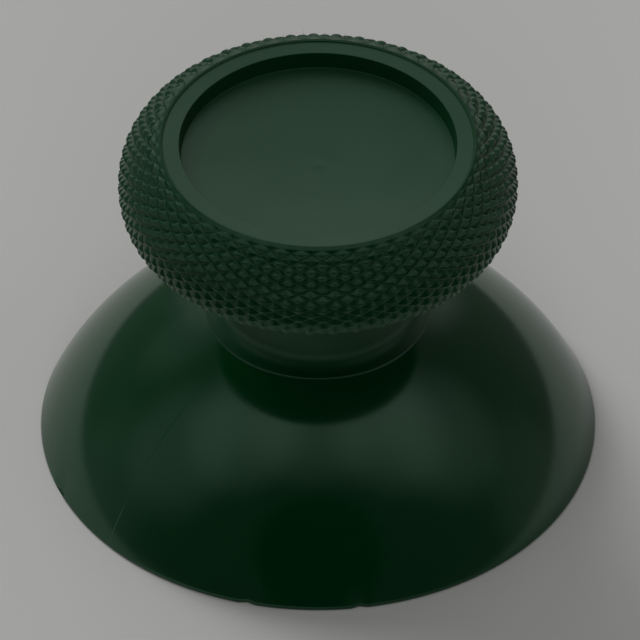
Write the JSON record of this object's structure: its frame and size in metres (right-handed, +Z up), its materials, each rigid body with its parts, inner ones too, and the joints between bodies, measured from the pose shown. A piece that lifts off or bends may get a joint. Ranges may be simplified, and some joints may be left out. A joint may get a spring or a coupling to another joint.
{
  "type": "thumbstick cap",
  "caption": "One-piece thumbstick cap: a knurled head with a sunk, slightly dished top on a short flared neck and a hollow spherical skirt with a keyed socket.",
  "frame": {"origin": "on the stick's axis, in the plane that the skirt's foot stands on", "axes": "+Z up along the stick's axis towards the thumb, -Y to the front, +X to the right"},
  "size_m": [0.0224, 0.0224, 0.0153],
  "materials": {
    "plastic": "near-black green, polished on the skirt and matt on the head"
  },
  "bodies": {
    "root": {"thumbstick_cap": "plastic"}
  },
  "joints": []
}
